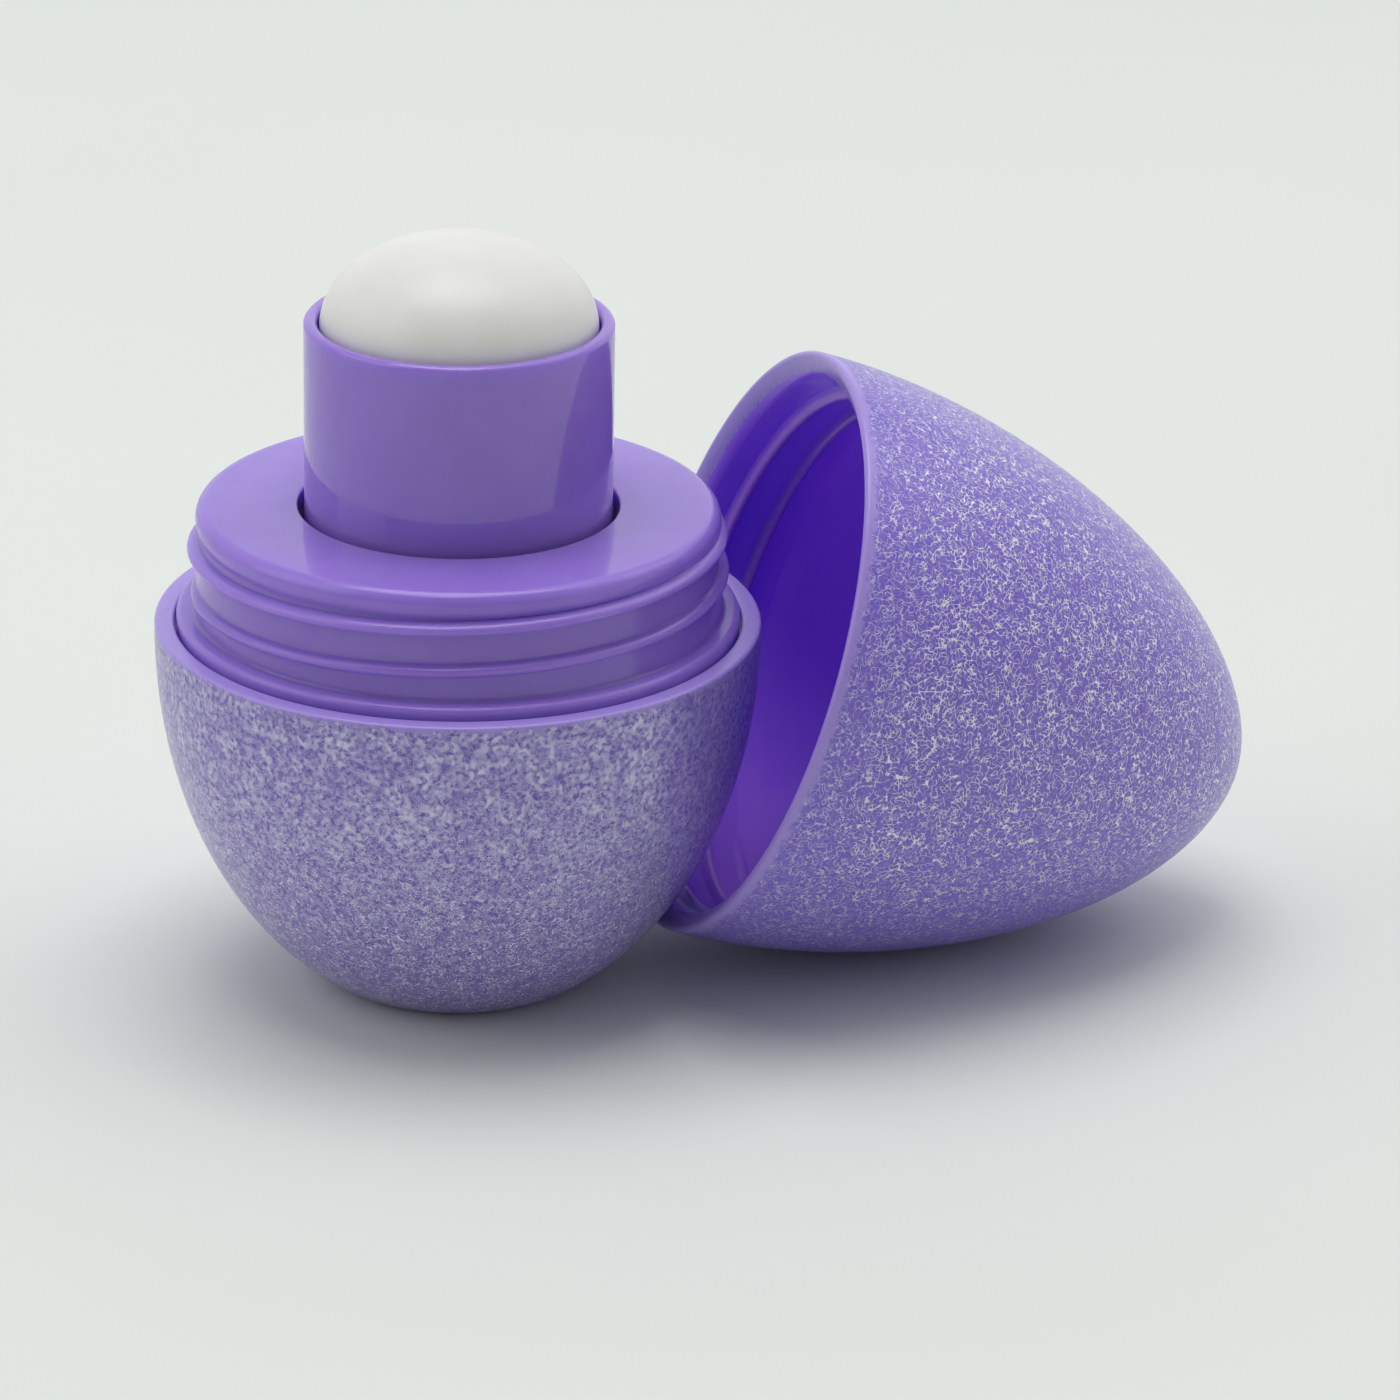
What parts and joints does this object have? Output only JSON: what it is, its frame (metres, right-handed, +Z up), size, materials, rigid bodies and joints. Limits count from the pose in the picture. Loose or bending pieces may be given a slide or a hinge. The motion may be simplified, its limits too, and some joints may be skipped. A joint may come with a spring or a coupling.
{
  "type": "serum stick",
  "caption": "Egg-shaped twist-up serum stick: glitter cup with a screw neck, a turning tube that raises a domed balm, and its screw cap lying beside it.",
  "frame": {"origin": "centre of the cup's flat foot, on the surface it stands on", "axes": "+Z up along the stick's axis, +X from the stick towards the tip of the lying cap"},
  "size_m": [0.0932, 0.05, 0.064],
  "materials": {
    "glitter_shell": "lilac plastic with a fine silver glitter under a clear coat",
    "gloss_plastic": "glossy moulded lilac plastic",
    "inner_plastic": "plain moulded plastic",
    "seal_rubber": "soft silicone rubber",
    "balm_wax": "off-white wax balm, satin"
  },
  "bodies": {
    "base": {"base_cup": "glitter_shell", "screw_neck": "gloss_plastic", "spiral_sleeve": "inner_plastic", "cap": "glitter_shell"},
    "tube": {"turning_tube": "gloss_plastic", "rubber_ring": "seal_rubber"},
    "stick": {"carrier": "inner_plastic", "balm": "balm_wax"}
  },
  "joints": [
    {"name": "tube_turn", "type": "hinge", "parent": "base", "child": "tube", "pos_m": [0, 0, 0], "axis": [0, 0, 1], "range_deg": [-144, 225]},
    {"name": "balm_lift", "type": "slide", "parent": "tube", "child": "stick", "axis": [0, 0, 1], "range_m": [-0.008, 0.0125]}
  ],
  "couplings": [
    {"joint": "balm_lift", "follows": "tube_turn", "m_per_rad": 0.003183}
  ]
}
